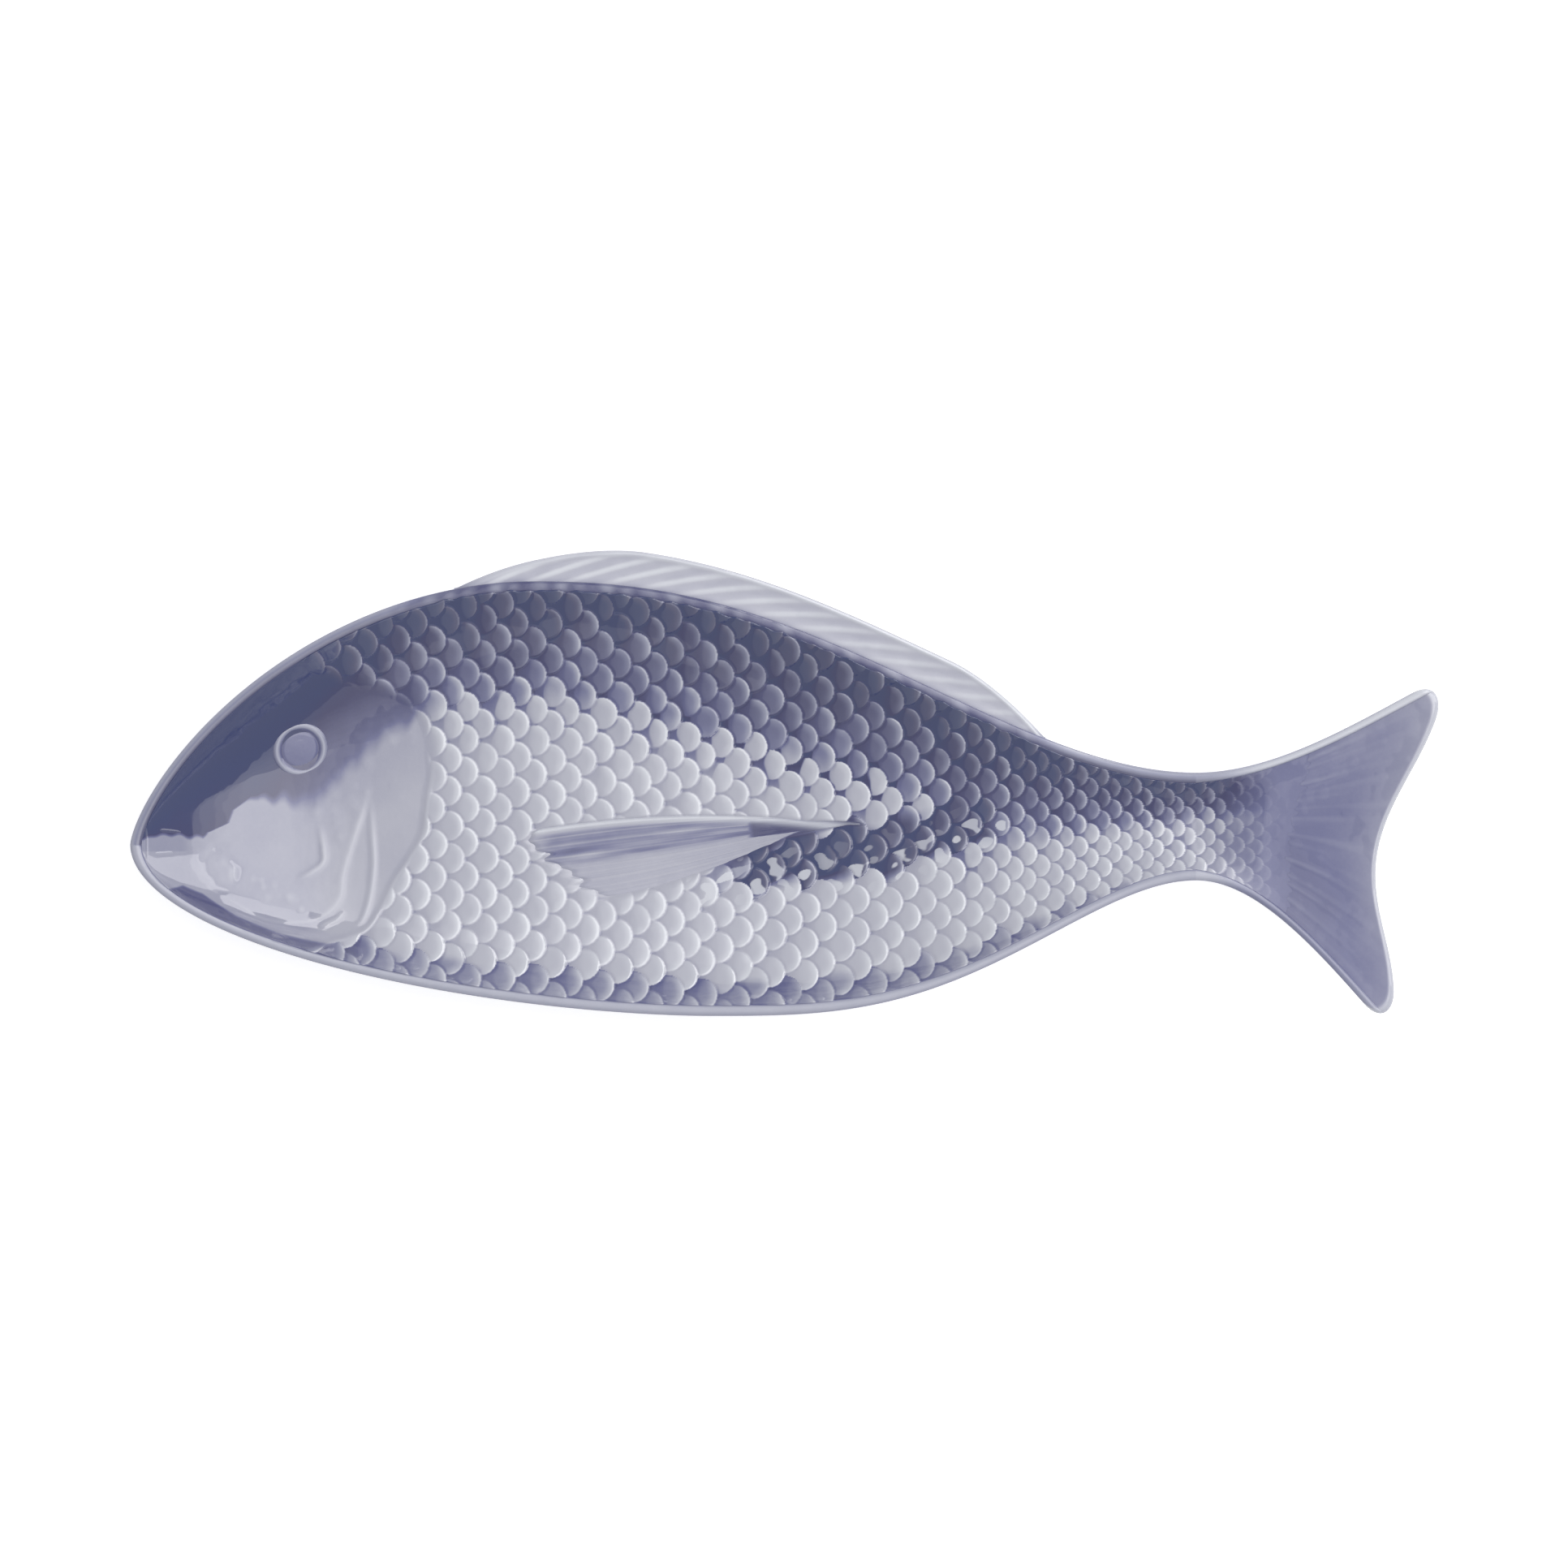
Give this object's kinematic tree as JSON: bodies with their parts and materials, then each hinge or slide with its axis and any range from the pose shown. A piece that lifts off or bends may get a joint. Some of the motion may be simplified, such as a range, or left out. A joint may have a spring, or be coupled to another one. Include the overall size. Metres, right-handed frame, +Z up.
{
  "type": "fish-shaped serving platter",
  "caption": "Shallow glazed porcelain serving platter in the shape of a sea bream, with moulded scales, fins and gill plates, a forked tail and an oval foot ring.",
  "frame": {"origin": "on the table, under the middle of the platter", "axes": "+X from the nose to the tail, +Y from the belly to the back, +Z up out of the well"},
  "size_m": [0.4, 0.1424, 0.0356],
  "materials": {
    "blue_glaze": "gloss blue-violet glaze, paler where it runs thin over edges",
    "pale_glaze": "gloss pale grey-blue glaze",
    "bare_porcelain": "unglazed, ground foot"
  },
  "bodies": {
    "root": {"dish": "blue_glaze", "scales": "blue_glaze", "eye": "blue_glaze", "tail_fin": "blue_glaze", "dorsal_fin": "pale_glaze", "pectoral_fin": "pale_glaze", "gill_cover": "pale_glaze", "lips": "pale_glaze", "foot_ring": "bare_porcelain"}
  },
  "joints": []
}
